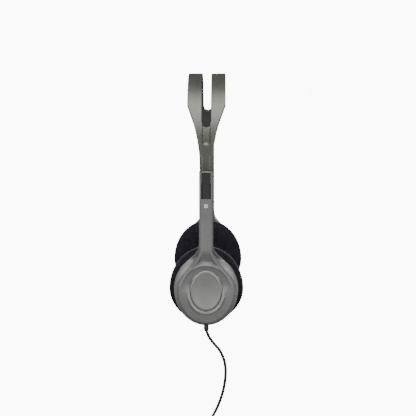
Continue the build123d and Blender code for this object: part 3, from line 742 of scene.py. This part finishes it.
# ------------------------------------------------------------------ foam ear pads
# Each pad is an egg-shaped cushion of black open-cell foam, crowned at its rounded edge and a little
# dished over the ear.  It is cut and pressed from one block, and slips over the speaker's baffle.
pad_half_width = 27.7
pad_widest = -3.2
pad_reach = (32.2, 25.2)
pad_back, pad_front = 60.7, 50.7
pad_spokes = 160
edge_depth, edge_thick, edge_inset = 52.9, 0.72, 0.1
lump_size, lump_height = 1.6, 0.35
# how far in from the outline, and how deep, from the back round the edge to the dished front
pad_section = [(6.0, 60.7), (4.5, 60.9), (3.0, 60.6), (1.6, 59.6), (0.7, 58.1), (0.2, 56.3), (0.0, 54.4)]
pad_section += [(0.25, 52.6), (0.9, 51.0), (2.0, 49.5), (3.5, 48.4), (5.4, 47.8), (7.6, 47.8), (10.0, 48.3)]
pad_section += [(12.5, 49.0), (15.0, 49.6), (18.0, 50.1), (21.0, 50.4), (24.0, 50.6)]

# Open-cell foam swallows light: near black, with a thin fuzz that lights up at its edge.  Its cells
# are about half a millimetre, and are drawn 0.7 mm apart so that they show.
foam, foam_shader, foam_tree = new_material("black open-cell polyurethane foam")
foam_shader.inputs["Roughness"].default_value = 0.95
foam_shader.inputs["Specular IOR Level"].default_value = 0.15
foam_shader.inputs["Sheen Weight"].default_value = 0.35
foam_shader.inputs["Sheen Roughness"].default_value = 0.35
foam_shader.inputs["Sheen Tint"].default_value = linear("#8c8c98")
foam_place = add_node(foam_tree, "ShaderNodeTexCoord").outputs["Object"]
cell_mm = 0.7
foam_cells = add_node(foam_tree, "ShaderNodeTexVoronoi", {"Vector": foam_place, "Scale": 1000 / cell_mm})
foam_cloud = add_node(foam_tree, "ShaderNodeTexNoise", {"Vector": foam_place, "Scale": 320.0, "Detail": 4.0})
foam_depth = add_node(
    foam_tree,
    "ShaderNodeMath",
    {0: foam_cells.outputs["Distance"], 1: foam_cloud.outputs["Fac"]},
    operation="MULTIPLY",
)
foam_tint = add_node(foam_tree, "ShaderNodeValToRGB", {"Fac": foam_depth.outputs["Value"]})
foam_tint.color_ramp.elements[0].position = 0.05
foam_tint.color_ramp.elements[0].color = linear("#0c0c0e")
foam_tint.color_ramp.elements[1].position = 0.55
foam_tint.color_ramp.elements[1].color = linear("#2d2d34")
foam_tree.links.new(foam_tint.outputs["Color"], foam_shader.inputs["Base Color"])
foam_bump = add_node(
    foam_tree,
    "ShaderNodeBump",
    {"Height": foam_depth.outputs["Value"], "Strength": 0.9, "Distance": 0.4 * mm},
)
foam_tree.links.new(foam_bump.outputs["Normal"], foam_shader.inputs["Normal"])

# A painted highlight: a fine ring of lighter grey round each pad's edge stands for the rim light that the
# foam's fuzz catches there.
foam_rim_highlight_paint, _ = moulded_plastic("painted rim highlight on foam pad edge", "#6a6a72", "#55555c", 0.8, 0.2)

for side, ear in ((-1, "left"), (1, "right")):
    points = [(0.0, side * pad_back * mm, ear_z)]
    for inset, depth in pad_section:
        for spoke in range(pad_spokes):
            angle = 2 * math.pi * spoke / pad_spokes
            reach = pad_reach[0] if math.sin(angle) > 0 else pad_reach[1]
            shrink = 1 - inset / pad_half_width
            x = pad_half_width * shrink * math.cos(angle)
            z = pad_widest + reach * shrink * math.sin(angle)
            points.append((x * mm, side * depth * mm, ear_z + z * mm))
    points.append((0.0, side * pad_front * mm, ear_z + pad_widest * mm))
    pad = closed_fan(f"{ear}_foam_pad", points, len(pad_section), pad_spokes, foam)
    rounder = pad.modifiers.new("rounder", "SUBSURF")
    rounder.levels = 1
    rounder.render_levels = 1
    lumps = bpy.data.textures.new(f"{ear}_foam_lumps", "CLOUDS")
    lumps.noise_scale = lump_size * mm
    uneven = pad.modifiers.new("uneven", "DISPLACE")
    uneven.texture = lumps
    uneven.strength = lump_height * mm
    uneven.mid_level = 0.5
    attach(pad, f"{ear}_cup")
    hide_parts(f"{ear}_foam_cushion")
    # The thin lighter-grey ring along the pad's outer edge is a painted highlight, not a real seam or pressed
    # rim.
    edge_curve = bpy.data.curves.new(f"{ear}_pad_rim_highlight", "CURVE")
    edge_curve.dimensions = "3D"
    edge_curve.bevel_depth = edge_thick / 2 * mm
    edge_curve.bevel_resolution = 2
    edge_line = edge_curve.splines.new("NURBS")
    edge_line.points.add(pad_spokes - 1)
    for spoke, point in enumerate(edge_line.points):
        angle = 2 * math.pi * spoke / pad_spokes
        reach = pad_reach[0] if math.sin(angle) > 0 else pad_reach[1]
        x = (pad_half_width - edge_inset) * math.cos(angle)
        z = pad_widest + (reach - edge_inset) * math.sin(angle)
        point.co = (x * mm, side * edge_depth * mm, ear_z + z * mm, 1.0)
    edge_line.use_cyclic_u = True
    edge_curve.materials.append(foam_rim_highlight_paint)
    pad_rim_highlight = bpy.data.objects.new(f"{ear}_pad_rim_highlight", edge_curve)
    bpy.context.scene.collection.objects.link(pad_rim_highlight)
    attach(pad_rim_highlight, f"{ear}_cup")

# ------------------------------------------------------------------ small plastics
# The rest of the plastic is plain moulded ABS and nylon: near-black clips, charcoal lids and speaker
# housings, a white marker dot, and a silver-grey boom with a darker microphone cover.
ears = ("left", "right")
small_plastics = [
    ("matt charcoal ABS, lids", "#3a3a3a", "#323232", 0.55, ("left_arm_lid", "right_arm_lid")),
    ("dark grey nylon clips", "#2f2e2d", "#262524", 0.5, ("left_detent_clip", "right_detent_clip")),
    ("white acetal marker", "#f1f1f1", "#e4e4e4", 0.4, ("left_marker", "right_marker")),
    ("black ABS speaker housing", "#232324", "#1c1c1d", 0.5, [f"{ear}_speaker_housing" for ear in ears]),
    ("black ABS baffle", "#1d1d1e", "#161617", 0.55, ("left_baffle", "right_baffle")),
    ("grey moulded ABS, boom", "#6f6f6d", "#62625f", 0.42, ("boom_arm",)),
    ("dark ABS microphone cover", "#3b3b3b", "#313131", 0.5, ("mic_cover",)),
    ("wire jacket", "#1c1c1e", "#141415", 0.5, ("cross_wire",)),
    ("soft black rubber strain relief", "#303031", "#252526", 0.6, ("strain_relief",)),
    ("black nylon cord tie", "#1e1e20", "#151517", 0.65, ("cord_tie",)),
    ("black moulded rubber plug", "#1f1f20", "#171718", 0.5, ("plug_body",)),
    ("black insulating rings", "#101010", "#0b0b0b", 0.4, ("plug_insulators",)),
    ("clear polyester diaphragm", "#8f8f88", "#83837c", 0.3, ("left_diaphragm", "right_diaphragm")),
    ("black damping cloth", "#17171a", "#0f0f12", 0.9, ("left_damping_cloth", "right_damping_cloth")),
]
for name, light_hex, dark_hex, roughness, nodes in small_plastics:
    made, _ = moulded_plastic(name, light_hex, dark_hex, roughness, 0.15)
    for node in nodes:
        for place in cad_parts[node].material_slots:
            place.material = made

# ------------------------------------------------------------------ metals
# Steel tongues, pins, screws and speaker frames are drawn or zinc plated; the plug is gold-coloured
# brass.  Each has fine turned or rolled lines about a fifth of a millimetre apart.


def worked_metal(name, colour, roughness):
    """Bare metal with fine tool lines and a slightly uneven sheen."""
    made, shader, tree = new_material(name)
    place = add_node(tree, "ShaderNodeTexCoord").outputs["Object"]
    lines = add_node(tree, "ShaderNodeTexNoise", {"Vector": place, "Scale": 1000 / 0.2, "Detail": 2.0})
    cloud = add_node(tree, "ShaderNodeTexNoise", {"Vector": place, "Scale": 150.0, "Detail": 2.0})
    sheen = add_node(
        tree,
        "ShaderNodeMapRange",
        {"Value": cloud.outputs["Fac"], "To Min": roughness - 0.08, "To Max": roughness + 0.1},
    )
    tree.links.new(sheen.outputs["Result"], shader.inputs["Roughness"])
    lift = add_node(
        tree, "ShaderNodeBump", {"Height": lines.outputs["Fac"], "Strength": 0.15, "Distance": 0.02 * mm}
    )
    tree.links.new(lift.outputs["Normal"], shader.inputs["Normal"])
    shader.inputs["Metallic"].default_value = 1.0
    shader.inputs["Base Color"].default_value = linear(colour)
    return made


metal_parts = [
    ("cold-rolled steel tongue", "#9a9894", 0.35, ("slider_tongue",)),
    ("zinc-plated steel", "#a9a8a3", 0.3, ("tongue_rivet", "pivot_pins", "lid_screw", "housing_screws")),
    ("pressed steel speaker frame", "#8c8b88", 0.4, ("driver_frame",)),
    ("nickel-plated magnet", "#8b8a86", 0.25, ("driver_magnet",)),
]
for name, colour, roughness, kinds in metal_parts:
    metal = worked_metal(name, colour, roughness)
    for node in [f"{ear}_{kind}" for ear in ears for kind in kinds]:
        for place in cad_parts[node].material_slots:
            place.material = metal
for name, colour, roughness, nodes in (
    ("gold-plated brass plug", "#d9b56b", 0.22, ("plug_sleeve", "plug_rings", "plug_tip")),
    ("zinc-plated boom screw", "#a9a8a3", 0.3, ("boom_screw", "boom_washer")),
    ("aluminium microphone can", "#b5b5b5", 0.3, ("mic_capsule",)),
):
    metal = worked_metal(name, colour, roughness)
    for node in nodes:
        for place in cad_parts[node].material_slots:
            place.material = metal
